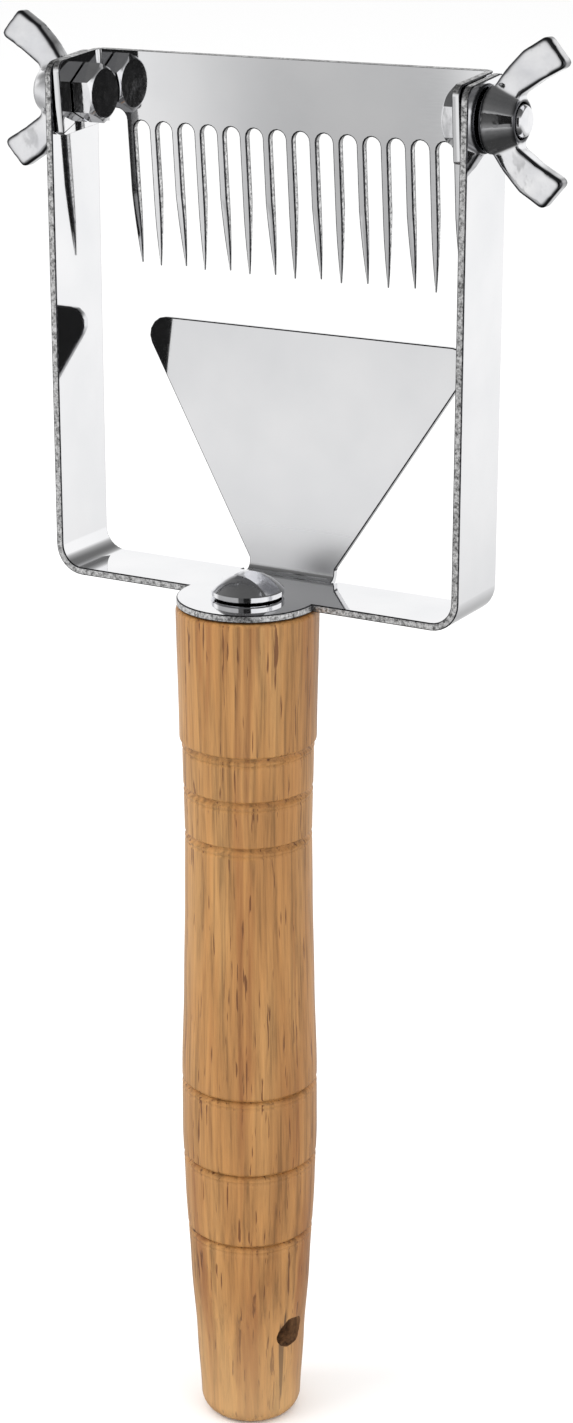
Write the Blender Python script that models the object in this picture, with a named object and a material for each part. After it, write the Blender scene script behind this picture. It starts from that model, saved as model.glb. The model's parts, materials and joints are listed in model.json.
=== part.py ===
"""Uncapping fork with a tilting comb: a turned wooden handle, a bent steel frame with a
guide plate, and a toothed comb clamped between the frame's arms by two bolts and wing nuts.

Units are metres.  The flat butt lies on Z = 0, with +Z up the handle, +X to the right
of the comb and -Y towards the side that the comb's ears point to.
"""
import math

import bpy
import bmesh
from mathutils import Matrix, Vector

# ---------------------------------------------------------------- driving dimensions
GAP = 0.0003                 # clearance kept between pieces that touch
SHEET = 0.0015               # thickness of the frame's and the comb's sheet steel

HANDLE_LENGTH = 0.177
HANDLE_TOP_RADIUS = 0.0140
BUTT_RADIUS = 0.0078         # radius of the flat end
# height below the top and radius where the turned outline changes direction
HANDLE_STATIONS = (
    (0.0000, 0.01400), (0.0265, 0.01355), (0.0290, 0.01300), (0.0465, 0.01268),
    (0.0600, 0.01282), (0.0800, 0.01325), (0.0975, 0.01378), (0.1120, 0.01382),
    (0.1240, 0.01340), (0.1435, 0.01238), (0.1600, 0.01125), (0.1735, 0.01046),
)
GROOVE_DEPTHS_DOWN = (0.0276, 0.0369, 0.0465, 0.1004, 0.1172, 0.1337)
GROOVE_WIDTH = 0.0018
GROOVE_DEPTH = 0.00045
TOP_ROUND = 0.0008
HANG_HOLE_RADIUS = 0.0033
HANG_HOLE_DROP = 0.1558      # below the handle's top
HANG_HOLE_Y = -0.0026        # drilled along X, a little towards the front
SCREW_HOLE_DEPTH = 0.042

FRAME_WIDTH = 0.0896         # across the outside of the arms
STRIP_FRONT = 0.0009         # where the strip's front edge lies in Y
STRIP_DEPTH = 0.0163
FRAME_BEND = 0.0058          # outside radius where the web turns up into an arm
ARM_TOP = 0.1012             # arm's top above the web's underside, at mid depth
ARM_TOP_SLOPE = 6.0          # degrees that the arm's top edge rises towards the back
ARM_CORNER = 0.0030
DISC_RADIUS = 0.0138

FAN_LEAN = 6.6               # degrees that the guide plate leans back
FAN_BEND = 0.0015            # inside radius where it turns up from the web
FAN_ROOT_HALF = 0.0096
FAN_TOP_HALF = 0.0383
FAN_FLARE_START = 0.0021     # height above the web's top where the flare starts
FAN_TOP = 0.0477             # height of its top edge above the web's top
FAN_CORNER = 0.0035
RELIEF_WIDTH = 0.0010

BOLT_Y = 0.0103              # bolt axis, from the handle's axis
BOLT_UP = 0.0941             # bolt axis, above the web's underside
BOLT_RADIUS = 0.0030         # M6
BOLT_HEAD_FLATS = 0.0100
BOLT_HEAD_HEIGHT = 0.0040
BOLT_HEAD_CHAMFER = 0.0013   # how far the head's corners are turned down
BOLT_POINT = 0.0010          # length of the rounded end
BOLT_REACH = 0.0523          # how far the bolt's end stands from the middle of the comb
HOLE_RADIUS = BOLT_RADIUS + GAP

COMB_TILT = 5.15             # degrees that the comb's top leans forward at rest
COMB_FRONT = 0.0053          # band's front face behind the bolt axis
COMB_TOP = 0.0074            # band's top edge above the bolt axis
EAR_REACH = 0.0088           # ear's front edge ahead of the bolt axis
EAR_DROP = 0.0067            # ear's lower edge below the bolt axis
EAR_TOP_ROUND = 0.0020
EAR_LOW_ROUND = 0.0008
COMB_BEND = 0.0023           # outside radius between band and ear
TINE_COUNT = 15
TINE_PITCH = 0.00505
TINE_WIDTH = 0.0015
SLOT_TOP = 0.00605           # top of the slots, below the bolt axis
TAPER_START = 0.0200         # where the tines start to narrow
TINE_TIP = 0.0345            # tine points, below the bolt axis
TIP_HALF = 0.00012
TAPER_POWER = 2.4
GRIND_DEPTH = 0.00125        # how much of the sheet is ground away at a point
RELIEF_TOP = 0.0039          # top of the relief notch beside the outer tines
RELIEF_RADIUS = 0.0022

NUT_BASE_RADIUS = 0.0064
NUT_END_RADIUS = 0.0042
NUT_HEIGHT = 0.0062
WING_ROOT_THICK = 0.0042
WING_TIP_THICK = 0.0028
WING_REACH = 0.0153          # wing's highest point from the bolt axis

SCREW_HEAD_RADIUS = 0.00715
SCREW_RIM = 0.0012           # height of the upright edge under the dome
SCREW_HEAD_HEIGHT = 0.0044
SCREW_SHANK_RADIUS = 0.0024
SCREW_LENGTH = 0.036
SCREW_POINT = 0.008
SLOT_WIDTH = 0.0042
SLOT_DEPTH = 0.0030
SLOT_TURN = -11.0            # degrees about +Z, from +X

# ---------------------------------------------------------------- derived places
WEB_BOTTOM = HANDLE_LENGTH + GAP
WEB_TOP = WEB_BOTTOM + SHEET
STRIP_BACK = STRIP_FRONT + STRIP_DEPTH
ARM_OUTER = FRAME_WIDTH / 2
ARM_INNER = ARM_OUTER - SHEET
EAR_OUTER = ARM_INNER - GAP
EAR_INNER = EAR_OUTER - SHEET
BOLT_Z = WEB_BOTTOM + BOLT_UP
# the arms' holes and the wing nuts share the bolt axis; the comb and its bolts also tilt
BOLT_PLACE = Matrix.Translation((0, BOLT_Y, BOLT_Z))
COMB_PLACE = BOLT_PLACE @ Matrix.Rotation(math.radians(COMB_TILT), 4, "X")

ROUND_STEPS = 32
PAST = 0.001                 # how far a cutter runs past the face it cuts


# ---------------------------------------------------------------- helpers
def clear_scene():
    for obj in list(bpy.data.objects):
        bpy.data.objects.remove(obj, do_unlink=True)


def new_collection(name):
    coll = bpy.data.collections.new(name)
    bpy.context.scene.collection.children.link(coll)
    return coll


def make_material(name, color, metallic, roughness):
    mat = bpy.data.materials.new(name)
    mat.use_nodes = True
    shader = mat.node_tree.nodes["Principled BSDF"]
    shader.inputs["Base Color"].default_value = (*color, 1.0)
    shader.inputs["Metallic"].default_value = metallic
    shader.inputs["Roughness"].default_value = roughness
    mat.diffuse_color = (*color, 1.0)
    return mat


def add_part(name, mesh, mat, matrix=None):
    obj = bpy.data.objects.new(name, mesh)
    PARTS.objects.link(obj)
    mesh.materials.clear()
    mesh.materials.append(mat)
    if matrix is not None:
        obj.matrix_world = matrix
    return obj


def add_cutter(name, mesh, matrix=None):
    obj = bpy.data.objects.new(name, mesh)
    CUTTERS.objects.link(obj)
    obj.hide_render = True
    obj.display_type = "WIRE"
    if matrix is not None:
        obj.matrix_world = matrix
    return obj


def boolean(target, cutter, operation="DIFFERENCE"):
    mod = target.modifiers.new(operation.title() + " " + cutter.name, "BOOLEAN")
    mod.operation = operation
    mod.object = cutter


def shade(mesh, angle=35.0):
    mesh.shade_smooth()
    mesh.set_sharp_from_angle(angle=math.radians(angle))


def arc(centre, radius, start, end, steps):
    """Points on an arc from start to end degrees, both ends included."""
    points = []
    for i in range(steps + 1):
        a = math.radians(start + (end - start) * i / steps)
        points.append((centre[0] + radius * math.cos(a), centre[1] + radius * math.sin(a)))
    return points


def round_corner(before, corner, after, radius, steps=5):
    """Arc points that round one corner of a polygon."""
    p, c, n = Vector(before), Vector(corner), Vector(after)
    u = (p - c).normalized()
    v = (n - c).normalized()
    half = u.angle(v) / 2
    run = radius / math.tan(half)
    centre = c + (u + v).normalized() * (radius / math.sin(half))
    first = c + u * run - centre
    last = c + v * run - centre
    sweep = first.angle_signed(last)
    points = []
    for i in range(steps + 1):
        a = -sweep * i / steps
        turned = Vector((first.x * math.cos(a) - first.y * math.sin(a),
                         first.x * math.sin(a) + first.y * math.cos(a)))
        points.append(tuple(centre + turned))
    return points


def rounded_polygon(corners):
    """Outline from (x, y, radius) corners."""
    points = []
    count = len(corners)
    for i, (x, y, radius) in enumerate(corners):
        if radius <= 0:
            points.append((x, y))
            continue
        before = corners[i - 1][:2]
        after = corners[(i + 1) % count][:2]
        points += round_corner(before, (x, y), after, radius)
    return points


def plate(name, outline, thickness):
    """Mesh of a flat outline, drawn in local XY and centred on Z = 0."""
    curve = bpy.data.curves.new(name, "CURVE")
    curve.dimensions = "2D"
    curve.fill_mode = "BOTH"
    curve.extrude = thickness / 2
    spline = curve.splines.new("POLY")
    spline.points.add(len(outline) - 1)
    for point, (x, y) in zip(spline.points, outline):
        point.co = (x, y, 0.0, 1.0)
    spline.use_cyclic_u = True
    obj = bpy.data.objects.new(name, curve)
    bpy.context.scene.collection.objects.link(obj)
    depsgraph = bpy.context.evaluated_depsgraph_get()
    mesh = bpy.data.meshes.new_from_object(obj.evaluated_get(depsgraph))
    bpy.data.objects.remove(obj, do_unlink=True)
    mesh.name = name
    bm = bmesh.new()
    bm.from_mesh(mesh)
    bmesh.ops.remove_doubles(bm, verts=bm.verts, dist=1e-6)
    bmesh.ops.recalc_face_normals(bm, faces=bm.faces)
    bm.to_mesh(mesh)
    bm.free()
    return mesh


def turned(name, profile, steps=ROUND_STEPS):
    """Mesh of a (radius, height) profile turned about local Z; the ends lie on the axis."""
    bm = bmesh.new()
    verts = [bm.verts.new((r, 0.0, z)) for r, z in profile]
    edges = [bm.edges.new(pair) for pair in zip(verts, verts[1:])]
    bmesh.ops.spin(bm, geom=verts + edges, cent=(0, 0, 0), axis=(0, 0, 1),
                   angle=2 * math.pi, steps=steps, use_merge=True)
    bmesh.ops.remove_doubles(bm, verts=bm.verts, dist=1e-6)
    bmesh.ops.recalc_face_normals(bm, faces=bm.faces)
    mesh = bpy.data.meshes.new(name)
    bm.to_mesh(mesh)
    bm.free()
    return mesh


def cylinder(name, radius, length, steps=ROUND_STEPS):
    """Closed cylinder along local Z, centred on the origin."""
    bm = bmesh.new()
    bmesh.ops.create_cone(bm, cap_ends=True, segments=steps, radius1=radius,
                          radius2=radius, depth=length)
    mesh = bpy.data.meshes.new(name)
    bm.to_mesh(mesh)
    bm.free()
    return mesh


def box(name, low, high):
    bm = bmesh.new()
    bmesh.ops.create_cube(bm, size=1.0)
    size = [h - l for l, h in zip(low, high)]
    middle = [(h + l) / 2 for l, h in zip(low, high)]
    bmesh.ops.scale(bm, vec=size, verts=bm.verts)
    bmesh.ops.translate(bm, vec=middle, verts=bm.verts)
    mesh = bpy.data.meshes.new(name)
    bm.to_mesh(mesh)
    bm.free()
    return mesh


def joined(name, meshes):
    """One mesh from several, for cutters made of separate solids."""
    bm = bmesh.new()
    for mesh in meshes:
        bm.from_mesh(mesh)
    out = bpy.data.meshes.new(name)
    bm.to_mesh(out)
    bm.free()
    return out


# local XY of a plate -> world XZ, with the plate's thickness along Y
XZ = Matrix.Rotation(math.radians(90), 4, "X")
# local XY of a plate -> world YZ, with the plate's thickness along X
YZ = Matrix(((0, 0, 1, 0), (1, 0, 0, 0), (0, 1, 0, 0), (0, 0, 0, 1)))
# local Z of a turned piece -> world +X or -X
ALONG_X = Matrix.Rotation(math.radians(90), 4, "Y")


# ---------------------------------------------------------------- handle
def handle_radius(down):
    """Radius of the turned outline at a distance below the top, eased between stations."""
    for (d0, r0), (d1, r1) in zip(HANDLE_STATIONS, HANDLE_STATIONS[1:]):
        if down <= d1:
            t = (down - d0) / (d1 - d0)
            eased = 0.5 - 0.5 * math.cos(math.pi * t)
            return r0 + (r1 - r0) * (t + eased) / 2
    return HANDLE_STATIONS[-1][1]


def handle_profile():
    """(radius, height) points from the top's centre down to the butt's centre."""
    levels = [TOP_ROUND]
    level = 0.008
    last = HANDLE_STATIONS[-1][0]
    while level < last:
        if all(abs(level - g) > GROOVE_WIDTH for g in GROOVE_DEPTHS_DOWN):
            levels.append(level)
        level += 0.006
    cuts = []
    for groove in GROOVE_DEPTHS_DOWN:
        cuts += [(groove - GROOVE_WIDTH / 2, 0.0), (groove, GROOVE_DEPTH),
                 (groove + GROOVE_WIDTH / 2, 0.0)]
    points = sorted([(d, 0.0) for d in levels + [last]] + cuts)
    profile = [(0.0, HANDLE_LENGTH), (HANDLE_TOP_RADIUS - TOP_ROUND, HANDLE_LENGTH),
               (HANDLE_TOP_RADIUS - TOP_ROUND * 0.3, HANDLE_LENGTH - TOP_ROUND * 0.3)]
    profile += [(handle_radius(d) - cut, HANDLE_LENGTH - d) for d, cut in points]
    end_radius = HANDLE_STATIONS[-1][1]
    end_height = HANDLE_LENGTH - last
    for i in range(1, 5):
        a = math.pi / 2 * i / 4
        profile.append((BUTT_RADIUS + (end_radius - BUTT_RADIUS) * math.cos(a),
                        end_height * (1 - math.sin(a))))
    profile.append((0.0, 0.0))
    return profile


def make_handle():
    handle = add_part("handle", turned("handle", handle_profile(), 40), WOOD)
    shade(handle.data)
    depth = SCREW_HOLE_DEPTH
    bore = cylinder("screw bore", SCREW_SHANK_RADIUS + GAP, depth * 2, 16)
    boolean(handle, add_cutter("screw bore", bore, Matrix.Translation((0, 0, HANDLE_LENGTH))))
    place = Matrix.Translation((0, HANG_HOLE_Y, HANDLE_LENGTH - HANG_HOLE_DROP)) @ ALONG_X
    hole = cylinder("hang hole", HANG_HOLE_RADIUS, HANDLE_TOP_RADIUS * 3, 24)
    boolean(handle, add_cutter("hang hole", hole, place))
    return handle


# ---------------------------------------------------------------- frame
def u_outline(outer_half, thickness, bend, low, high):
    """A U of sheet, open at the top, with bent lower corners."""
    inner_half = outer_half - thickness
    inner_bend = bend - thickness
    right = arc((outer_half - bend, low + bend), bend, -90, 0, 8)
    outer = [(-x, z) for x, z in reversed(right)] + right
    inner_right = arc((outer_half - bend, low + bend), inner_bend, -90, 0, 8)
    inner = [(-x, z) for x, z in reversed(inner_right)] + inner_right
    return ([(-outer_half, high)] + outer + [(outer_half, high), (inner_half, high)]
            + list(reversed(inner)) + [(-inner_half, high)])


def arm_side_outline():
    """Side view of an arm: square at the foot, rounded and sloping at the top."""
    middle = (STRIP_FRONT + STRIP_BACK) / 2
    rise = math.tan(math.radians(ARM_TOP_SLOPE)) * STRIP_DEPTH / 2
    top = WEB_BOTTOM + ARM_TOP
    below = WEB_BOTTOM - 0.002
    front = middle - STRIP_DEPTH / 2
    back = middle + STRIP_DEPTH / 2
    return rounded_polygon([(front, below, 0), (back, below, 0),
                            (back, top + rise, ARM_CORNER), (front, top - rise, ARM_CORNER)])


def fan_side_outline():
    """Side view of the bent guide plate: a tail in the web, the bend and the leaning plate."""
    lean = math.radians(FAN_LEAN)
    start = (STRIP_BACK + FAN_BEND * (1 - math.sin(lean)) * math.tan(lean)
             - FAN_BEND * math.cos(lean))
    centre = (start, WEB_TOP + FAN_BEND)
    up = Vector((math.sin(lean), math.cos(lean)))
    back = Vector((math.cos(lean), -math.sin(lean)))
    length = FAN_TOP / math.cos(lean) + 0.004
    inner = arc(centre, FAN_BEND, -90, -FAN_LEAN, 6)
    outer = arc(centre, FAN_BEND + SHEET, -90, -FAN_LEAN, 6)
    top_front = Vector(centre) + back * FAN_BEND + up * length
    top_back = Vector(centre) + back * (FAN_BEND + SHEET) + up * length
    tail = start - 0.003
    outline = [(tail, WEB_TOP)] + inner + [tuple(top_front), tuple(top_back)]
    outline += list(reversed(outer)) + [(tail, WEB_BOTTOM)]
    return start, outline


def fan_front_outline():
    """Front view of the guide plate: narrow root, flared sides, rounded top corners."""
    base = WEB_BOTTOM - 0.001
    flare = WEB_TOP + FAN_FLARE_START
    top = WEB_TOP + FAN_TOP
    right = [(FAN_ROOT_HALF, base, 0), (FAN_ROOT_HALF, flare, 0), (FAN_TOP_HALF, top, FAN_CORNER)]
    left = [(-x, z, radius) for x, z, radius in reversed(right)]
    return rounded_polygon(right + left)


def make_frame():
    top = WEB_BOTTOM + ARM_TOP + 0.004
    strip = plate("frame", u_outline(ARM_OUTER, SHEET, FRAME_BEND, WEB_BOTTOM, top), STRIP_DEPTH)
    middle = (STRIP_FRONT + STRIP_BACK) / 2
    strip.transform(Matrix.Translation((0, middle, 0)) @ XZ)
    frame = add_part("frame", strip, STEEL)

    side = add_cutter("arm side", plate("arm side", arm_side_outline(), FRAME_WIDTH + 0.01), YZ)
    boolean(frame, side, "INTERSECT")

    holes = cylinder("arm holes", HOLE_RADIUS, FRAME_WIDTH + 0.01)
    boolean(frame, add_cutter("arm holes", holes, BOLT_PLACE @ ALONG_X))

    bend_start, fan_side = fan_side_outline()
    root = FAN_ROOT_HALF + RELIEF_WIDTH
    clear = box("fan relief", (-root, bend_start, WEB_BOTTOM - PAST),
                (root, STRIP_BACK + PAST, WEB_TOP + PAST))
    boolean(frame, add_cutter("fan relief", clear))

    fan = plate("fan", fan_side, FAN_TOP_HALF * 2 + 0.004)
    fan_obj = add_cutter("fan", fan, YZ)
    front = plate("fan front", fan_front_outline(), 0.04)
    boolean(fan_obj, add_cutter("fan front", front, Matrix.Translation((0, 0.015, 0)) @ XZ),
            "INTERSECT")
    boolean(frame, fan_obj, "UNION")

    disc = cylinder("disc", DISC_RADIUS, SHEET, 64)
    disc_obj = add_cutter("disc", disc, Matrix.Translation((0, 0, WEB_BOTTOM + SHEET / 2)))
    boolean(frame, disc_obj, "UNION")
    bore = cylinder("disc bore", SCREW_SHANK_RADIUS + GAP, SHEET * 4, 24)
    boolean(frame, add_cutter("disc bore", bore, Matrix.Translation((0, 0, WEB_BOTTOM))))
    shade(frame.data)
    return frame


# ---------------------------------------------------------------- comb
def tine_half_width(down):
    """Half the tine's width at a distance below the bolt axis."""
    if down <= TAPER_START:
        return TINE_WIDTH / 2
    t = (down - TAPER_START) / (TINE_TIP - TAPER_START)
    return TIP_HALF + (TINE_WIDTH / 2 - TIP_HALF) * (1 - t ** TAPER_POWER)


def slot_outline():
    """Space between two tines, with a round top, drawn about its own centre line."""
    half = (TINE_PITCH - TINE_WIDTH) / 2
    top = arc((0, -SLOT_TOP - half), half, 180, 0, 8)
    right = []
    for i in range(7):
        down = TAPER_START + (TINE_TIP - TAPER_START) * i / 6
        right.append((TINE_PITCH / 2 - tine_half_width(down), -down))
    right.append((right[-1][0], -TINE_TIP - 0.003))
    left = [(-x, z) for x, z in reversed(right)]
    return top + right + left


def outer_relief_outline(side):
    """Space outside the outermost tine, with a round-topped notch beside the ear."""
    tine = TINE_PITCH * (TINE_COUNT - 1) / 2
    near = [(tine + tine_half_width(TINE_TIP), -TINE_TIP - 0.003)]
    for i in range(7):
        down = TINE_TIP + (TAPER_START - TINE_TIP) * i / 6
        near.append((tine + tine_half_width(down), -down))
    notch = near[-1][0]
    far = EAR_OUTER + 0.003
    corners = rounded_polygon([
        (notch, -TAPER_START, 0), (notch, -RELIEF_TOP, RELIEF_RADIUS),
        (EAR_INNER - 0.0004, -RELIEF_TOP, RELIEF_RADIUS), (EAR_INNER - 0.0004, -EAR_DROP, 0),
        (far, -EAR_DROP, 0), (far, -TINE_TIP - 0.003, 0)])
    return [(side * x, z) for x, z in near + corners[1:]]


def comb_side_outline():
    """Side view of the comb: the ear with rounded corners, and the tines' strip behind it."""
    back = COMB_FRONT + SHEET + 0.001
    return rounded_polygon([
        (-EAR_REACH, -EAR_DROP, EAR_LOW_ROUND), (COMB_FRONT - 0.0005, -EAR_DROP, 0),
        (COMB_FRONT - 0.0005, -TINE_TIP, 0), (back, -TINE_TIP, 0), (back, COMB_TOP, 0),
        (-EAR_REACH, COMB_TOP, EAR_TOP_ROUND)])


def grind_wedge(index):
    """Wedge that thins one tine towards its point, on the front or the back in turn."""
    x = (index - (TINE_COUNT - 1) / 2) * TINE_PITCH
    face = COMB_FRONT if index % 2 == 0 else COMB_FRONT + SHEET
    inward = 1 if index % 2 == 0 else -1
    outline = [(face - inward * 0.0004, -TAPER_START + 0.0012), (face, -TAPER_START),
               (face + inward * GRIND_DEPTH, -TINE_TIP),
               (face + inward * GRIND_DEPTH * 1.1, -TINE_TIP - 0.0015),
               (face - inward * 0.0004, -TINE_TIP - 0.0015)]
    mesh = plate("wedge", outline, TINE_PITCH * 0.9)
    mesh.transform(Matrix.Translation((x, 0, 0)) @ YZ)
    return mesh


def make_comb():
    """Built about the bolt axis with its band upright, then tilted."""
    length = COMB_TOP + TINE_TIP
    plan = u_outline(EAR_OUTER, SHEET, COMB_BEND, -(COMB_FRONT + SHEET), EAR_REACH)
    plan = [(x, -y) for x, y in plan]
    sheet = plate("comb", plan, length + 0.002)
    sheet.transform(Matrix.Translation((0, 0, COMB_TOP - length / 2)))
    comb = add_part("comb", sheet, STEEL, COMB_PLACE)

    width = 2 * EAR_OUTER + 0.01
    side_view = plate("comb side", comb_side_outline(), width)
    boolean(comb, add_cutter("comb side", side_view, COMB_PLACE @ YZ), "INTERSECT")
    slots = []
    for i in range(TINE_COUNT - 1):
        x = (i - (TINE_COUNT - 2) / 2) * TINE_PITCH
        slot = plate("slot", slot_outline(), 0.01)
        slot.transform(Matrix.Translation((x, COMB_FRONT, 0)) @ XZ)
        slots.append(slot)
    boolean(comb, add_cutter("comb slots", joined("comb slots", slots), COMB_PLACE))
    reliefs = []
    for side in (-1, 1):
        relief = plate("relief", outer_relief_outline(side), 0.02)
        relief.transform(Matrix.Translation((0, COMB_FRONT - 0.0016, 0)) @ XZ)
        reliefs.append(relief)
    boolean(comb, add_cutter("comb reliefs", joined("comb reliefs", reliefs), COMB_PLACE))
    wedges = [grind_wedge(i) for i in range(TINE_COUNT)]
    boolean(comb, add_cutter("tine grinds", joined("tine grinds", wedges), COMB_PLACE))
    holes = cylinder("ear holes", HOLE_RADIUS, width)
    boolean(comb, add_cutter("ear holes", holes, COMB_PLACE @ ALONG_X))
    shade(comb.data)
    return comb


# ---------------------------------------------------------------- bolts and wing nuts
def make_bolt(side, name):
    """Hexagon bolt: head inside the ear with one flat along the band, shank through the arm."""
    under_head = EAR_INNER - GAP
    head_face = under_head - BOLT_HEAD_HEIGHT
    flat = BOLT_HEAD_FLATS / 2
    corner = flat / math.cos(math.radians(30))
    place = COMB_PLACE @ Matrix.Rotation(math.radians(90 * side), 4, "Y")

    shank = [(0, BOLT_REACH), (BOLT_RADIUS * 0.6, BOLT_REACH),
             (BOLT_RADIUS * 0.87, BOLT_REACH - BOLT_POINT * 0.3),
             (BOLT_RADIUS, BOLT_REACH - BOLT_POINT),
             (BOLT_RADIUS, under_head - PAST), (0, under_head - PAST)]
    bolt = add_part(name, turned(name, shank), CHROME, place)

    head = cylinder(name + " head", corner, BOLT_HEAD_HEIGHT, 6)
    head.transform(Matrix.Translation((0, 0, head_face + BOLT_HEAD_HEIGHT / 2))
                   @ Matrix.Rotation(math.radians(30), 4, "Z"))
    head_obj = add_cutter(name + " head", head, place)
    blank_profile = [(0, under_head + PAST), (corner + PAST, under_head + PAST),
                     (corner + PAST, head_face + BOLT_HEAD_CHAMFER),
                     (flat - GAP, head_face), (0, head_face)]
    blank = add_cutter(name + " blank", turned(name + " blank", blank_profile, 48), place)
    boolean(head_obj, blank, "INTERSECT")
    boolean(bolt, head_obj, "UNION")
    shade(bolt.data, 28)
    return bolt


def wing_outline():
    """One wing in (distance out from the arm, distance from the bolt axis)."""
    outer = [(0.0010, 0.0040), (0.0011, 0.0062), (0.0030, 0.0090), (0.0062, 0.0124),
             (0.0108, 0.0153)]
    tip = [(0.0151, 0.0102)]
    inner = [(0.0100, 0.0074), (0.0062, 0.0048), (0.0056, 0.0030)]
    corners = [(x, y, 0) for x, y in outer[:-1]]
    corners += [(*outer[-1], 0.0010), (*tip[0], 0.0010)]
    corners += [(x, y, 0) for x, y in inner]
    return rounded_polygon(corners)


def make_wing():
    """One wing, thinner towards its tip: local Z runs out along the bolt, X across it."""
    wing = plate("wing", wing_outline(), 1.0)
    for vert in wing.vertices:
        along = min(max(vert.co.y / WING_REACH, 0.0), 1.0)
        thick = WING_ROOT_THICK * (1 - along) + WING_TIP_THICK * along
        vert.co.z = math.copysign(thick / 2, vert.co.z)
    wing.transform(Matrix(((0, 1, 0, 0), (0, 0, 1, 0), (1, 0, 0, 0), (0, 0, 0, 1))))
    return wing


def make_wing_nut(side, name):
    """Wing nut outside an arm: conical hub, and two wings that flare away from the arm."""
    place = (BOLT_PLACE @ Matrix.Rotation(math.radians(90 * side), 4, "Y")
             @ Matrix.Translation((0, 0, ARM_OUTER + GAP)))
    profile = [(0, NUT_HEIGHT), (NUT_END_RADIUS - GAP, NUT_HEIGHT),
               (NUT_END_RADIUS, NUT_HEIGHT - GAP), (NUT_BASE_RADIUS - 0.0002, 0.0008),
               (NUT_BASE_RADIUS, 0.0004), (NUT_BASE_RADIUS - GAP, 0), (0, 0)]
    nut = add_part(name, turned(name, profile), CHROME, place)
    for turn in (0, 180):
        spin = Matrix.Rotation(math.radians(turn), 4, "Z")
        label = name + " wing %d" % turn
        boolean(nut, add_cutter(label, make_wing(), place @ spin), "UNION")
    bore = cylinder(name + " bore", HOLE_RADIUS, NUT_HEIGHT * 5)
    boolean(nut, add_cutter(name + " bore", bore, place))
    shade(nut.data, 40)
    return nut


# ---------------------------------------------------------------- handle screw
def make_handle_screw():
    """Slotted screw with a domed head, down through the disc into the handle."""
    seat = WEB_TOP + GAP
    dome = SCREW_HEAD_HEIGHT - SCREW_RIM
    ball = (SCREW_HEAD_RADIUS ** 2 + dome ** 2) / (2 * dome)
    profile = []
    for i in range(7):
        r = SCREW_HEAD_RADIUS * i / 6
        profile.append((r, seat + SCREW_HEAD_HEIGHT - ball + math.sqrt(ball ** 2 - r ** 2)))
    profile += [(SCREW_HEAD_RADIUS, seat + 0.0003), (SCREW_HEAD_RADIUS - 0.0003, seat),
                (SCREW_SHANK_RADIUS, seat),
               (SCREW_SHANK_RADIUS, seat - SCREW_LENGTH + SCREW_POINT),
                (0.0003, seat - SCREW_LENGTH), (0.0, seat - SCREW_LENGTH)]
    screw = add_part("handle_screw", turned("handle_screw", profile, 40), CHROME)
    slot = box("screw slot", (-0.01, -SLOT_WIDTH / 2, seat + SCREW_HEAD_HEIGHT - SLOT_DEPTH),
               (0.01, SLOT_WIDTH / 2, seat + SCREW_HEAD_HEIGHT + 0.002))
    turn = Matrix.Rotation(math.radians(SLOT_TURN), 4, "Z")
    boolean(screw, add_cutter("screw slot", slot, turn))
    shade(screw.data)
    return screw


# ---------------------------------------------------------------- build
clear_scene()
PARTS = new_collection("uncapping_fork")
CUTTERS = new_collection("cutters")
WOOD = make_material("varnished wood", (0.52, 0.30, 0.12), 0.0, 0.42)
STEEL = make_material("polished steel", (0.80, 0.80, 0.82), 1.0, 0.12)
CHROME = make_material("bright plated steel", (0.82, 0.82, 0.85), 1.0, 0.10)

make_handle()
make_frame()
make_comb()
for bolt_side, label in ((-1, "left"), (1, "right")):
    make_bolt(bolt_side, "bolt_" + label)
    make_wing_nut(bolt_side, "wing_nut_" + label)
make_handle_screw()
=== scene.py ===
import json
import math

import bmesh
import bpy
from mathutils import Matrix, Vector, noise


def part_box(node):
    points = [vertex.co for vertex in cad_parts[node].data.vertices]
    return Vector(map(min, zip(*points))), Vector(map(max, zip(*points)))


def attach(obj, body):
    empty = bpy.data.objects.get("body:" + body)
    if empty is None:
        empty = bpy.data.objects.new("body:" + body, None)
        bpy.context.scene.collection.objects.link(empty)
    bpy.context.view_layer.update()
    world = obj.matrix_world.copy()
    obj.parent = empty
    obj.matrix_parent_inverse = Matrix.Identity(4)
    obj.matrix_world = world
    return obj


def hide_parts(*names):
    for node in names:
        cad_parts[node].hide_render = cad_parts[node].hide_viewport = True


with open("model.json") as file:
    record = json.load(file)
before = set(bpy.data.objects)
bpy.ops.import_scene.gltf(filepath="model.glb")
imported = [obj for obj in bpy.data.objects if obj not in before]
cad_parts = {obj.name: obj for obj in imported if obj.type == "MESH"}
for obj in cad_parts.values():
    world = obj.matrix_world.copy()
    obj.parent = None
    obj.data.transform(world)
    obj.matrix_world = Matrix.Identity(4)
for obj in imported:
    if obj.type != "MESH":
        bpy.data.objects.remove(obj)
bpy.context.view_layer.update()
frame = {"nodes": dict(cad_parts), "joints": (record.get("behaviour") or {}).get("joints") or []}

# ---------------------------------------------------------------- sizes shared with the CAD
SHEET = 0.0015
GAP = 0.0003
COMB_TILT = 5.15
COMB_FRONT = 0.0053
EAR_INNER = 0.0415
HANG_HOLE_RADIUS = 0.0033
HANG_HOLE_DROP = 0.1558
HANG_HOLE_Y = -0.0026
DRILL_HALF_LENGTH = 0.017
TEAR_START = 0.0085                     # from the axis outwards, the hang hole is torn
TEAR_RUN = 0.0035
HANDLE_STATIONS = (
    (0.0000, 0.01400), (0.0265, 0.01355), (0.0290, 0.01300), (0.0465, 0.01268),
    (0.0600, 0.01282), (0.0800, 0.01325), (0.0975, 0.01378), (0.1120, 0.01382),
    (0.1240, 0.01340), (0.1435, 0.01238), (0.1600, 0.01125), (0.1735, 0.01046),
)
GROOVES_DOWN = (0.0276, 0.0369, 0.0465, 0.1004, 0.1172, 0.1337)
GROOVE_DEPTH = 0.00085
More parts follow.
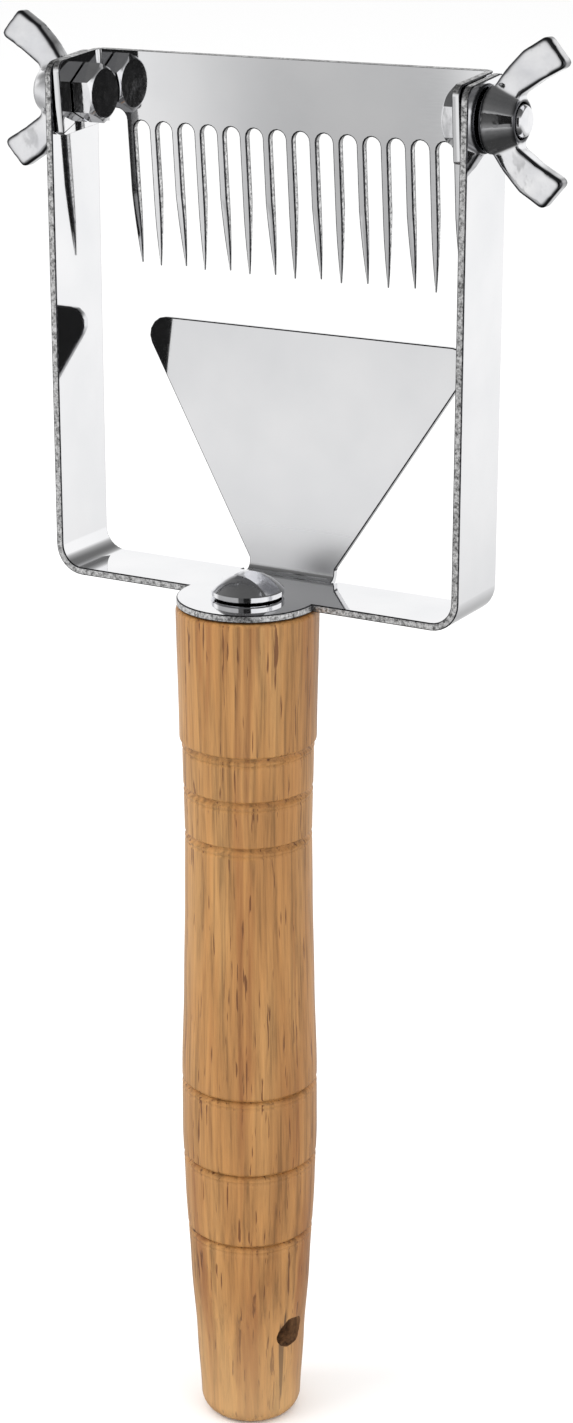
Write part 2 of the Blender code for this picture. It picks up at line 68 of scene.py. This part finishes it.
GROOVE_HALF_WIDTH = 0.00070
ECHO_DEPTH = 0.00018                    # the faint second line beside each groove
ECHO_HALF_WIDTH = 0.00045
ECHO_OFFSET = 0.0014
BUTT_RADIUS = 0.0078
SCREW_BORE = 0.0027
SCREW_BORE_DEPTH = 0.040
GUIDE_LEAN = 6.6
GUIDE_FRONT = 0.0172                    # in Y: only the guide plate is further back
GUIDE_FOOT = 0.1835
GUIDE_TOP = 0.2275
GUIDE_HALF_WIDTH = 0.0390
HUB_RADIUS = 0.0078

# ---------------------------------------------------------------- widths of the broken edges
FRAME_BREAK = 0.00022
COMB_BREAK = 0.00026
BOLT_BREAK = 0.00020
SCREW_BREAK = 0.00018

ROOT = "handle_and_frame"
COMB = "comb"
TILT = next(j for j in frame["joints"] if j["name"] == "comb_tilt")
BOLT_AXIS = Vector(TILT["pos_m"])
HANDLE_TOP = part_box("handle")[1].z
COMB_TURN = Matrix.Rotation(math.radians(COMB_TILT), 4, "X")


# ---------------------------------------------------------------- node material helpers
def new_material(name):
    mat = bpy.data.materials.new(name)
    mat.use_nodes = True
    tree = mat.node_tree
    return mat, tree, tree.nodes["Principled BSDF"]


def add(tree, kind, **settings):
    """A new node: in_X sets the socket X, and anything else is a setting of the node."""
    node = tree.nodes.new(kind)
    for key, value in settings.items():
        if key.startswith("in_"):
            node.inputs[key[3:].replace("_", " ")].default_value = value
        else:
            setattr(node, key, value)
    return node


def ramp(tree, fac, stops):
    """Colour ramp: each stop is a place in 0..1 and a grey or a colour."""
    node = tree.nodes.new("ShaderNodeValToRGB")
    elements = node.color_ramp.elements
    while len(elements) < len(stops):
        elements.new(0.5)
    for element, (place, color) in zip(elements, stops):
        element.position = place
        if not isinstance(color, tuple):
            color = (color, color, color)
        element.color = (*color, 1.0)
    tree.links.new(fac, node.inputs["Fac"])
    return node.outputs["Color"]


def mix_color(tree, fac, a, b, blend="MIX"):
    """Mixes two colours, each a socket or a value: sockets 6 and 7 are A and B, output 2 the result."""
    node = tree.nodes.new("ShaderNodeMix")
    node.data_type = "RGBA"
    node.blend_type = blend
    for socket, value in ((node.inputs["Factor"], fac), (node.inputs[6], a), (node.inputs[7], b)):
        if hasattr(value, "is_linked"):
            tree.links.new(value, socket)
        elif isinstance(value, tuple):
            socket.default_value = (*value, 1.0)
        else:
            socket.default_value = value
    return node.outputs[2]


def stretched(tree, scale=(1, 1, 1), shift=(0, 0, 0)):
    """Object coordinates, which are the CAD's own metres, scaled and then shifted."""
    coord = add(tree, "ShaderNodeTexCoord")
    mapping = tree.nodes.new("ShaderNodeMapping")
    mapping.inputs["Scale"].default_value = scale
    mapping.inputs["Location"].default_value = shift
    tree.links.new(coord.outputs["Object"], mapping.inputs["Vector"])
    return mapping.outputs["Vector"]


def object_axes(tree):
    parts = add(tree, "ShaderNodeSeparateXYZ")
    tree.links.new(stretched(tree), parts.inputs[0])
    return parts.outputs


def noise_tex(tree, vector, scale, detail, rough, distortion=0.0):
    node = add(tree, "ShaderNodeTexNoise", in_Scale=scale, in_Detail=detail,
               in_Roughness=rough, in_Distortion=distortion)
    tree.links.new(vector, node.inputs["Vector"])
    return node.outputs["Fac"]


def bump(tree, height, strength, distance, normal=None):
    node = add(tree, "ShaderNodeBump", in_Strength=strength, in_Distance=distance)
    tree.links.new(height, node.inputs["Height"])
    if normal is not None:
        tree.links.new(normal, node.inputs["Normal"])
    return node.outputs["Normal"]


# ---------------------------------------------------------------- materials
def polished_steel(name, dull_foot=False):
    """Mirror-finish sheet with wiping marks, and if asked, duller at the foot of the guide plate."""
    mat, tree, shader = new_material(name)
    shader.inputs["Metallic"].default_value = 1.0
    wipes = noise_tex(tree, stretched(tree, (1.0, 1.0, 14.0)), 260, 3, 0.6)
    clouds = noise_tex(tree, stretched(tree), 55, 3, 0.5)
    tree.links.new(ramp(tree, clouds, [(0.3, (0.86, 0.865, 0.88)), (0.7, (0.93, 0.93, 0.94))]),
                   shader.inputs["Base Color"])
    rough = ramp(tree, wipes, [(0.35, 0.03), (0.75, 0.065)])
    if dull_foot:
        axes = object_axes(tree)
        behind = add(tree, "ShaderNodeMath", operation="GREATER_THAN")
        behind.inputs[1].default_value = GUIDE_FRONT
        tree.links.new(axes["Y"], behind.inputs[0])
        foot = ramp(tree, axes["Z"], [(0.184, 1.0), (0.202, 0.0)])
        mask = mix_color(tree, 1.0, behind.outputs[0], foot, "MULTIPLY")
        rough = mix_color(tree, mask, rough, (0.34, 0.34, 0.34))
    tree.links.new(rough, shader.inputs["Roughness"])
    wavy = noise_tex(tree, stretched(tree), 24, 1, 0.4)
    tree.links.new(bump(tree, wavy, 0.06, 0.0006), shader.inputs["Normal"])
    return mat


def sheared_edge(name, through=None):
    """Cut edge of the sheet: granular, and at the back of the sheet a torn zone, painted near-black as
    shade.

    through is a point on the sheet's front and the way into it, or None for no torn, shaded zone.
    """
    mat, tree, shader = new_material(name)
    shader.inputs["Metallic"].default_value = 1.0
    grains = noise_tex(tree, stretched(tree), 1500, 3, 0.7)
    patches = noise_tex(tree, stretched(tree), 350, 2, 0.6)
    speckle = ramp(tree, grains, [(0.34, 0.16), (0.47, 0.55), (0.62, 0.97)])
    color = mix_color(tree, 0.45, speckle, ramp(tree, patches, [(0.3, 0.45), (0.7, 1.0)]), "MULTIPLY")
    if through is not None:
        origin, direction = through
        coord = add(tree, "ShaderNodeTexCoord")
        depth = add(tree, "ShaderNodeVectorMath", operation="DOT_PRODUCT")
        tree.links.new(coord.outputs["Object"], depth.inputs[0])
        depth.inputs[1].default_value = direction
        share = add(tree, "ShaderNodeMath", operation="MULTIPLY_ADD")
        share.inputs[1].default_value = 1 / SHEET
        share.inputs[2].default_value = -(origin @ direction) / SHEET
        tree.links.new(depth.outputs["Value"], share.inputs[0])
        # Across the back of the sheet's thickness the edge is painted near-black: painted shade over
        # the torn zone.
        torn = ramp(tree, share.outputs[0], [(0.60, 0.0), (0.84, 0.94)])
        color = mix_color(tree, torn, color, (0.03, 0.03, 0.034))
    tree.links.new(color, shader.inputs["Base Color"])
    tree.links.new(ramp(tree, patches, [(0.3, 0.22), (0.7, 0.46)]), shader.inputs["Roughness"])
    tree.links.new(bump(tree, grains, 0.55, 0.00012), shader.inputs["Normal"])
    return mat


def painted_edge_line():
    """The broken corner between a sheet's face and its cut edge: a near-black line of painted shade."""
    mat, tree, shader = new_material("painted edge shade")
    shader.inputs["Metallic"].default_value = 1.0
    grains = noise_tex(tree, stretched(tree), 1100, 2, 0.6)
    tree.links.new(ramp(tree, grains, [(0.38, (0.015, 0.015, 0.018)), (0.64, (0.13, 0.13, 0.14))]),
                   shader.inputs["Base Color"])
    tree.links.new(ramp(tree, grains, [(0.3, 0.28), (0.7, 0.42)]), shader.inputs["Roughness"])
    return mat


def hub_swell(tree, normal):
    """Soft lumps on the wing nuts' hubs, which fade out where the wings begin."""
    swell = noise_tex(tree, stretched(tree, shift=(0.02, 0.05, 0.01)), 120, 1, 0.4)
    flat = add(tree, "ShaderNodeVectorMath", operation="MULTIPLY")
    flat.inputs[1].default_value = (0, 1, 1)
    tree.links.new(stretched(tree), flat.inputs[0])
    radius = add(tree, "ShaderNodeVectorMath", operation="DISTANCE")
    radius.inputs[1].default_value = (0, BOLT_AXIS.y, BOLT_AXIS.z)
    tree.links.new(flat.outputs[0], radius.inputs[0])
    lumps = bump(tree, swell, 0.0, 0.0018, normal)
    tree.links.new(ramp(tree, radius.outputs["Value"], [(HUB_RADIUS, 0.60), (HUB_RADIUS + 0.001, 0.0)]),
                   lumps.node.inputs["Strength"])
    return lumps


def bright_plating(name, wave, rim_shade=None):
    """Plated hardware, uneven under the plating.

    For castings, the last argument gives the pointiness from which the rounded rims are painted dark as
    shade, and where they are dark.
    """
    mat, tree, shader = new_material(name)
    shader.inputs["Metallic"].default_value = 1.0
    tone = noise_tex(tree, stretched(tree), 190, 3, 0.55)
    color = ramp(tree, tone, [(0.3, (0.80, 0.805, 0.83)), (0.72, (0.95, 0.95, 0.96))])
    if rim_shade is not None:
        geometry = add(tree, "ShaderNodeNewGeometry")
        # Convex rims turn near-black by pointiness: painted shade.
        mask = ramp(tree, geometry.outputs["Pointiness"], [(rim_shade[0], 0.0), (rim_shade[1], 0.94)])
        color = mix_color(tree, mask, color, (0.035, 0.036, 0.042))
    tree.links.new(color, shader.inputs["Base Color"])
    fine = noise_tex(tree, stretched(tree), 900, 3, 0.6)
    tree.links.new(ramp(tree, fine, [(0.3, 0.05), (0.75, 0.12)]), shader.inputs["Roughness"])
    uneven = bump(tree, tone, wave, 0.0005)
    if rim_shade is not None:
        uneven = hub_swell(tree, uneven)
    tree.links.new(uneven, shader.inputs["Normal"])
    return mat


def varnished_wood():
    """Light open-grained wood: brown streaks, short dark pores, the bottom end lightened as painted
    light bounced from the floor, and satin varnish.
    """
    mat, tree, shader = new_material("varnished wood")
    grain = noise_tex(tree, stretched(tree, (1.0, 1.0, 0.035)), 820, 5, 0.66, 0.3)
    band = noise_tex(tree, stretched(tree, (1.0, 1.0, 0.10), (0.3, 0.1, 0)), 85, 3, 0.55, 0.6)
    red = noise_tex(tree, stretched(tree, (1.0, 1.0, 0.045), (0.7, 0.2, 0.4)), 165, 4, 0.6, 0.3)
    pores = noise_tex(tree, stretched(tree, (1.0, 1.0, 0.060), (0.2, 0.9, 0.1)), 1500, 2, 0.5)
    cracks = noise_tex(tree, stretched(tree, (1.0, 1.0, 0.035), (0.5, 0.4, 0.8)), 330, 2, 0.4)

    base = ramp(tree, band, [(0.28, (0.305, 0.130, 0.036)), (0.50, (0.390, 0.190, 0.060)),
                             (0.74, (0.485, 0.268, 0.098))])
    fibre = ramp(tree, grain, [(0.34, 0.52), (0.48, 0.94), (0.64, 1.22)])
    color = mix_color(tree, 0.85, base, fibre, "MULTIPLY")
    red_mask = ramp(tree, red, [(0.55, 0.0), (0.66, 0.55)])
    color = mix_color(tree, red_mask, color, (0.22, 0.068, 0.018))
    pore_mask = ramp(tree, pores, [(0.645, 0.0), (0.685, 0.85)])
    color = mix_color(tree, pore_mask, color, (0.125, 0.043, 0.014))
    crack_mask = ramp(tree, cracks, [(0.700, 0.0), (0.718, 0.95)])
    color = mix_color(tree, crack_mask, color, (0.06, 0.022, 0.010))
    # Painted light: paler towards the bottom end, standing in for light bounced up from the floor.
    floor_bounce = ramp(tree, object_axes(tree)["Z"], [(0.004, 0.30), (0.034, 0.0)])
    color = mix_color(tree, floor_bounce, color, (0.80, 0.52, 0.25))
    tree.links.new(color, shader.inputs["Base Color"])

    tree.links.new(ramp(tree, grain, [(0.3, 0.46), (0.7, 0.33)]), shader.inputs["Roughness"])
    shader.inputs["Specular IOR Level"].default_value = 0.30
    shader.inputs["Coat Weight"].default_value = 0.10
    shader.inputs["Coat Roughness"].default_value = 0.22
    rough = bump(tree, grain, 0.22, 0.00025)
    sunk = add(tree, "ShaderNodeInvert")
    tree.links.new(pore_mask, sunk.inputs["Color"])
    tree.links.new(bump(tree, sunk.outputs["Color"], 0.5, 0.0002, rough), shader.inputs["Normal"])
    return mat


def bare_wood():
    """Unvarnished, darkened wood inside the hang hole."""
    mat, tree, shader = new_material("bare hole wood")
    fibre = noise_tex(tree, stretched(tree, (1, 1, 0.2)), 700, 4, 0.6)
    tree.links.new(ramp(tree, fibre, [(0.3, (0.050, 0.022, 0.010)), (0.7, (0.30, 0.150, 0.062))]),
                   shader.inputs["Base Color"])
    shader.inputs["Roughness"].default_value = 0.85
    tree.links.new(bump(tree, fibre, 0.8, 0.0004), shader.inputs["Normal"])
    return mat


FRAME_STEEL = polished_steel("polished frame steel", dull_foot=True)
COMB_STEEL = polished_steel("polished comb steel")
EDGE = sheared_edge("sheared steel edge")
COMB_EDGE_SHADED = sheared_edge("sheared comb edge shaded at the back", (BOLT_AXIS + COMB_TURN @ Vector((0, COMB_FRONT, 0)),
                                               COMB_TURN @ Vector((0, 1, 0))))
EDGE_SHADE = painted_edge_line()
PLATED = bright_plating("bright plated hardware", 0.10)
CAST = bright_plating("bright plated casting", 0.18, (0.502, 0.517))
WOOD = varnished_wood()
BARE = bare_wood()


# ---------------------------------------------------------------- mesh helpers
def link(name, mesh):
    obj = bpy.data.objects.new(name, mesh)
    bpy.context.scene.collection.objects.link(obj)
    return obj


def mesh_of(name, bm):
    """A mesh from a bmesh, which is freed."""
    mesh = bpy.data.meshes.new(name)
    bm.to_mesh(mesh)
    bm.free()
    return mesh


def cad_copy(node):
    """A welded bmesh of a CAD node, with its flat areas as single faces."""
    bm = bmesh.new()
    bm.from_mesh(frame["nodes"][node].data)
    bmesh.ops.remove_doubles(bm, verts=bm.verts, dist=2e-6)
    bmesh.ops.dissolve_limit(bm, angle_limit=math.radians(0.4), verts=bm.verts, edges=bm.edges)
    bmesh.ops.recalc_face_normals(bm, faces=bm.faces)
    return bm


def apply_modifiers(obj):
    mesh = bpy.data.meshes.new_from_object(
        obj.evaluated_get(bpy.context.evaluated_depsgraph_get()))
    obj.modifiers.clear()
    obj.data = mesh


def weigh_edges(bm, angle, width):
    """Marks the sharp edges for rounding, and less so next to an edge that is very short."""
    layer = bm.edges.layers.float.new("bevel_weight_edge")
    room = {vert: min(edge.calc_length() for edge in vert.link_edges) for vert in bm.verts}
    for edge in bm.edges:
        if len(edge.link_faces) == 2 and edge.calc_face_angle(0.0) > math.radians(angle):
            roomy = 0.38 * min(room[vert] for vert in edge.verts)
            edge[layer] = 1.0 if roomy > width else roomy / width


def rounded(obj, width, segments, material, clamp):
    """Rounds the marked edges, and keeps the flat faces' normals true so that they mirror flat.

    material is the slot that the rounding takes. clamp holds back the whole piece's rounding where
    edges meet closely, so the sheets go without it and rely on their weights.
    """
    mod = obj.modifiers.new("edges", "BEVEL")
    mod.width = width
    mod.segments = segments
    mod.limit_method = "WEIGHT"
    mod.use_clamp_overlap = clamp
    mod.material = material
    weigh = obj.modifiers.new("true faces", "WEIGHTED_NORMAL")
    weigh.mode = "FACE_AREA"
    weigh.weight = 100
    weigh.keep_sharp = False


def stand_for(obj, node, body):
    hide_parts(node)
    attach(obj, body)


# ---------------------------------------------------------------- sheet parts
def sheet_piece(name, node, body, is_face, width, steel, edge, turn=None):
    """The CAD sheet with its cut edges broken and told apart from its polished faces.

    turn takes the normals of a tilted sheet back to upright, for is_face.
    """
    bm = cad_copy(node)
    for face in bm.faces:
        normal = face.normal if turn is None else turn @ face.normal
        face.material_index = 0 if is_face(face, normal) else 1
    weigh_edges(bm, 32.0, width)
    mesh = mesh_of(name, bm)
    # The rounded corners take the third material, a near-black line of painted shade along the edges.
    for material in (steel, edge, EDGE_SHADE):
        mesh.materials.append(material)
    mesh.shade_smooth()
    obj = link(name, mesh)
    rounded(obj, width, 2, 2, False)
    apply_modifiers(obj)
    stand_for(obj, node, body)


GUIDE_NORMAL = Vector((0, math.cos(math.radians(GUIDE_LEAN)), -math.sin(math.radians(GUIDE_LEAN))))


def frame_face(face, normal):
    """True on the sheet's polished faces: strip faces have no Y in them, guide faces no X."""
    middle = face.calc_center_median()
    on_guide = middle.y > 0.0150 and abs(middle.x) < GUIDE_HALF_WIDTH and middle.z < GUIDE_TOP
    on_bend = middle.z < GUIDE_FOOT
    if on_guide and abs(normal.x) < 0.02 and (abs(normal @ GUIDE_NORMAL) > 0.9 or on_bend):
        return True
    on_disc = middle.z < HANDLE_TOP + GAP + SHEET + 0.0002 and abs(middle.x) < 0.02
    if on_disc and abs(normal.z) < 0.5:
        return False
    arm_end = middle.z > BOLT_AXIS.z and abs(normal.z) > 0.3
    return abs(normal.y) < 0.2 and not arm_end


def comb_face(face, normal):
    """True on the polished faces of the band, the ears and the bends between them."""
    middle = face.calc_center_median()
    on_ear = abs(middle.x) > EAR_INNER - 0.001 and middle.z > BOLT_AXIS.z - 0.0066
    return abs(normal.z) < 0.4 and (abs(normal.y) > 0.9 or on_ear)


sheet_piece("frame_sheet", "frame", ROOT, frame_face, FRAME_BREAK, FRAME_STEEL, EDGE)
sheet_piece("comb_sheet", "comb", COMB, comb_face, COMB_BREAK, COMB_STEEL, COMB_EDGE_SHADED,
            COMB_TURN.to_3x3().inverted())


# ---------------------------------------------------------------- hardware
def bright_bolt(name):
    """The CAD bolt with its edges broken."""
    bm = cad_copy(name)
    weigh_edges(bm, 24.0, BOLT_BREAK)
    mesh = mesh_of(name + "_bright", bm)
    mesh.materials.append(PLATED)
    mesh.shade_smooth()
    obj = link(name + "_bright", mesh)
    rounded(obj, BOLT_BREAK, 3, 0, True)
    apply_modifiers(obj)
    stand_for(obj, name, COMB)


def cast_nut(name):
    """The CAD wing nut with the soft edges of a casting."""
    obj = link(name + "_cast", mesh_of(name + "_cast", cad_copy(name)))
    remesh = obj.modifiers.new("even", "REMESH")
    remesh.mode = "VOXEL"
    remesh.voxel_size = 0.00022
    remesh.use_smooth_shade = True
    soften = obj.modifiers.new("soften", "SMOOTH")
    soften.factor = 0.5
    soften.iterations = 26
    apply_modifiers(obj)
    obj.data.materials.clear()
    obj.data.materials.append(CAST)
    obj.data.shade_smooth()
    stand_for(obj, name, name)


for label in ("left", "right"):
    bright_bolt("bolt_" + label)
    cast_nut("wing_nut_" + label)


def slotted_screw():
    """The CAD screw with its sharp edges rounded, the rounding painted near-black as shade. A width of
    0 weighs them all alike.
    """
    bm = cad_copy("handle_screw")
    weigh_edges(bm, 30.0, 0.0)
    mesh = mesh_of("handle_screw_bright", bm)
    mesh.materials.append(PLATED)
    mesh.materials.append(EDGE_SHADE)
    mesh.shade_smooth()
    obj = link("handle_screw_bright", mesh)
    rounded(obj, SCREW_BREAK, 3, 1, True)
    apply_modifiers(obj)
    stand_for(obj, "handle_screw", ROOT)


slotted_screw()


# ---------------------------------------------------------------- handle
def handle_radius(down):
    """Radius at a distance below the top, half eased between the stations."""
    for (d0, r0), (d1, r1) in zip(HANDLE_STATIONS, HANDLE_STATIONS[1:]):
        if down <= d1:
            t = (down - d0) / (d1 - d0)
            eased = 0.5 - 0.5 * math.cos(math.pi * t)
            return r0 + (r1 - r0) * (t + eased) / 2
    return HANDLE_STATIONS[-1][1]


def groove_cut(down):
    """Depth of the turned V grooves at a distance below the top, with a faint second line."""
    cut = 0.0
    for groove in GROOVES_DOWN:
        cut = max(cut, GROOVE_DEPTH * max(0.0, 1 - abs(down - groove) / GROOVE_HALF_WIDTH))
        beside = abs(down - groove - ECHO_OFFSET)
        cut = max(cut, ECHO_DEPTH * max(0.0, 1 - beside / ECHO_HALF_WIDTH))
    return cut


def turned_handle():
    """Fine turning of the handle, with a little hand-turned unevenness and the screw's bore."""
    last = HANDLE_STATIONS[-1][0]
    first, pitch = 0.0008, 0.00030
    levels = [first + pitch * i for i in range(int((last - first) / pitch) + 1)] + [last]
    profile = [(SCREW_BORE, HANDLE_TOP - SCREW_BORE_DEPTH), (SCREW_BORE, HANDLE_TOP),
               (0.0132, HANDLE_TOP), (0.01366, HANDLE_TOP - 0.00014), (0.01388, HANDLE_TOP - 0.0004)]
    profile += [(handle_radius(d) - groove_cut(d), HANDLE_TOP - d) for d in levels]
    end_radius = HANDLE_STATIONS[-1][1]
    end_height = HANDLE_TOP - last
    for i in range(1, 11):
        a = math.pi / 2 * i / 10
        profile.append((BUTT_RADIUS + (end_radius - BUTT_RADIUS) * math.cos(a),
                        end_height * (1 - math.sin(a))))
    bm = bmesh.new()
    steps = 112
    rings = []
    for r, z in profile:
        ring = []
        for i in range(steps):
            a = 2 * math.pi * i / steps
            wobble = 1.0
            if r > 0.009 and z > 0.004:
                wobble += 0.0016 * noise.noise((math.cos(a) * 2, math.sin(a) * 2, z * 60))
            ring.append(bm.verts.new((r * wobble * math.cos(a), r * wobble * math.sin(a), z)))
        rings.append(ring)
    for upper, lower in zip(rings, rings[1:]):
        for i in range(steps):
            j = (i + 1) % steps
            bm.faces.new((upper[i], lower[i], lower[j], upper[j]))
    bm.faces.new(rings[-1])
    bm.faces.new(rings[0])
    bmesh.ops.recalc_face_normals(bm, faces=bm.faces)
    return mesh_of("handle_turned", bm)


def ragged_drill():
    """Cutter for the hang hole: round inside, torn where the drill breaks the surface."""
    bm = bmesh.new()
    steps, slices = 40, 44
    rings = []
    for k in range(slices + 1):
        x = -DRILL_HALF_LENGTH + 2 * DRILL_HALF_LENGTH * k / slices
        ring = []
        for i in range(steps):
            a = 2 * math.pi * i / steps
            torn = max(0.0, abs(x) - TEAR_START) / TEAR_RUN
            chip = noise.noise((math.cos(a) * 1.7, math.sin(a) * 1.7 + 3.0, x * 90)) * 0.0007
            chip += noise.noise((math.cos(a) * 5, math.sin(a) * 5, x * 260)) * 0.0003
            r = HANG_HOLE_RADIUS + max(chip, -0.0002) * min(torn, 1.0)
            ring.append(bm.verts.new((x, r * math.cos(a), r * math.sin(a))))
        rings.append(ring)
    for left, right in zip(rings, rings[1:]):
        for i in range(steps):
            j = (i + 1) % steps
            bm.faces.new((left[i], left[j], right[j], right[i]))
    bm.faces.new(rings[0])
    bm.faces.new(rings[-1])
    bmesh.ops.recalc_face_normals(bm, faces=bm.faces)
    bmesh.ops.translate(bm, vec=(0, HANG_HOLE_Y, HANDLE_TOP - HANG_HOLE_DROP), verts=bm.verts)
    return mesh_of("drill", bm)


handle = link("handle_wood", turned_handle())
handle.data.materials.append(WOOD)
handle.data.materials.append(BARE)
drill = link("drill", ragged_drill())
drill.data.materials.append(BARE)
cut = handle.modifiers.new("hang hole", "BOOLEAN")
cut.object = drill
cut.material_mode = "TRANSFER"
apply_modifiers(handle)
bpy.data.objects.remove(drill, do_unlink=True)
handle.data.shade_smooth()
handle.data.set_sharp_from_angle(angle=math.radians(38))
stand_for(handle, "handle", ROOT)


# ---------------------------------------------------------------- stage, light, camera
def floor():
    bm = bmesh.new()
    bmesh.ops.create_grid(bm, x_segments=8, y_segments=8, size=20.0)
    obj = link("floor", mesh_of("floor", bm))
    mat, tree, shader = new_material("pale floor")
    shader.inputs["Base Color"].default_value = (0.965, 0.965, 0.965, 1.0)
    shader.inputs["Roughness"].default_value = 0.9
    shader.inputs["Specular IOR Level"].default_value = 0.0
    obj.data.materials.append(mat)
    obj.location.z = -0.0002
    obj.visible_glossy = False


def card(name, azimuth, distance, low, high, width, tones):
    """Upright card seen only in reflections: azimuth from -Y towards +X, tones by height in m."""
    a = math.radians(azimuth)
    middle = Vector((math.sin(a) * distance, -math.cos(a) * distance, (low + high) / 2))
    bm = bmesh.new()
    bmesh.ops.create_grid(bm, x_segments=1, y_segments=1, size=0.5)
    bmesh.ops.scale(bm, vec=(width, high - low, 1), verts=bm.verts)
    obj = link(name, mesh_of(name, bm))
    obj.matrix_world = (Matrix.Translation(middle) @ Matrix.Rotation(a, 4, "Z")
                        @ Matrix.Rotation(math.radians(90), 4, "X"))
    mat = bpy.data.materials.new(name)
    mat.use_nodes = True
    tree = mat.node_tree
    tree.nodes.clear()
    place = tree.nodes.new("ShaderNodeNewGeometry")
    parts = tree.nodes.new("ShaderNodeSeparateXYZ")
    tree.links.new(place.outputs["Position"], parts.inputs[0])
    glow = tree.nodes.new("ShaderNodeEmission")
    tree.links.new(ramp(tree, parts.outputs["Z"], tones), glow.inputs["Color"])
    out = tree.nodes.new("ShaderNodeOutputMaterial")
    tree.links.new(glow.outputs[0], out.inputs["Surface"])
    obj.data.materials.append(mat)
    obj.visible_camera = False
    obj.visible_diffuse = False
    obj.visible_shadow = False


def soft_light(name, place, size, power):
    """Square light aimed near the middle of the whole object, not seen in reflections."""
    data = bpy.data.lights.new(name, "AREA")
    data.shape = "SQUARE"
    data.size = size
    data.energy = power
    obj = bpy.data.objects.new(name, data)
    bpy.context.scene.collection.objects.link(obj)
    obj.location = place
    obj.visible_glossy = False
    obj.rotation_euler = (Vector((0, 0, 0.14)) - Vector(place)).to_track_quat("-Z", "Y").to_euler()


floor()
card("black_card", 34.5, 0.46, 0.0, 0.50, 0.105, [(0.0, 0.010), (0.50, 0.016)])
card("half_card", 23.5, 0.46, 0.0, 0.50, 0.090, [(0.13, 0.26), (0.15, 0.012), (0.50, 0.016)])
card("dim_card", 10.0, 0.47, 0.0, 0.50, 0.145, [(0.0, 0.26), (0.25, 0.10), (0.50, 0.06)])
soft_light("key", (-0.9, -1.0, 1.5), 1.2, 14.0)
soft_light("fill", (1.2, -0.2, 1.3), 1.2, 6.0)


FRONT_LEFT_AZIMUTH = -32                # from -Y towards +X
STRIP_AZIMUTH = -29.5


def studio_world():
    """Even white light, and for reflections a white room, grey front left, with dim floor and ceiling.

    Low down, the grey is deepest in an upright strip.
    """
    world = bpy.data.worlds.new("studio")
    bpy.context.scene.world = world
    world.use_nodes = True
    tree = world.node_tree
    background = tree.nodes["Background"]
    coord = add(tree, "ShaderNodeTexCoord")
    parts = add(tree, "ShaderNodeSeparateXYZ")
    tree.links.new(coord.outputs["Generated"], parts.inputs[0])
    up = add(tree, "ShaderNodeMath", operation="MULTIPLY_ADD")     # -1..1 to 0..1
    up.inputs[1].default_value = 0.5
    up.inputs[2].default_value = 0.5
    tree.links.new(parts.outputs["Z"], up.inputs[0])

    def by_height(stops):
        return ramp(tree, up.outputs[0],
                    [(0.5 + 0.5 * math.sin(math.radians(e)), tone) for e, tone in stops])

    def along(azimuth):
        """How far a direction points towards an azimuth, counted from -Y towards +X."""
        towards = add(tree, "ShaderNodeVectorMath", operation="DOT_PRODUCT")
        tree.links.new(coord.outputs["Generated"], towards.inputs[0])
        a = math.radians(azimuth)
        towards.inputs[1].default_value = (math.sin(a), -math.cos(a), 0.0)
        return towards.outputs["Value"]

    around = by_height(((-75, 0.05), (-45, 0.16), (-27, 0.60), (-18, 0.78), (-14, 0.93), (-10, 1.0),
                        (19, 1.0), (27, 0.45), (36, 0.16), (75, 0.10)))
    front_left = by_height(((-75, 0.05), (-45, 0.15), (-25, 0.46), (-17, 0.50), (-13.5, 0.56),
                            (-9, 0.70), (-4.5, 0.86), (-1, 0.80), (3, 0.76), (14, 0.52), (27, 0.25),
                            (40, 0.14)))
    beside = by_height(((-75, 0.05), (-45, 0.18), (-25, 0.66), (-17, 0.84), (-9, 0.88), (-4.5, 0.86),
                        (-1, 0.80), (3, 0.76), (14, 0.52), (27, 0.25), (40, 0.14)))
    across = add(tree, "ShaderNodeMath", operation="ADD")
    across.inputs[1].default_value = 0.5
    tree.links.new(along(STRIP_AZIMUTH - 90), across.inputs[0])
    off_strip = ramp(tree, across.outputs[0], [(0.448, 1.0), (0.463, 0.0), (0.518, 0.0), (0.567, 1.0)])
    front_left = mix_color(tree, off_strip, front_left, beside)
    mask = ramp(tree, along(FRONT_LEFT_AZIMUTH), [(0.60, 0.0), (0.76, 1.0)])
    seen = mix_color(tree, mask, around, front_left)
    path = add(tree, "ShaderNodeLightPath")
    tone = mix_color(tree, path.outputs["Is Glossy Ray"], (1.0, 1.0, 1.0), seen)
    tree.links.new(tone, background.inputs["Color"])
    background.inputs["Strength"].default_value = 1.0


studio_world()
bpy.context.scene.view_settings.view_transform = "Standard"

CAMERA_PLACE = Vector((0.2668, -0.4578, 0.3337))
CAMERA_TURN = math.radians(29.417)      # to the left of straight at +Y
CAMERA_DIP = math.radians(18.627)
LENS = 72.05                            # on a sensor 36 mm along the picture's height

forward = Vector((-math.sin(CAMERA_TURN) * math.cos(CAMERA_DIP),
                  math.cos(CAMERA_TURN) * math.cos(CAMERA_DIP), -math.sin(CAMERA_DIP)))
camera_data = bpy.data.cameras.new("camera")
camera_data.lens = LENS
camera_data.sensor_fit = "AUTO"
camera_data.sensor_width = 36.0
camera_data.clip_start = 0.01
camera = bpy.data.objects.new("camera", camera_data)
bpy.context.scene.collection.objects.link(camera)
camera.location = CAMERA_PLACE
camera.rotation_euler = forward.to_track_quat("-Z", "Y").to_euler()
bpy.context.scene.camera = camera

bpy.context.view_layer.update()
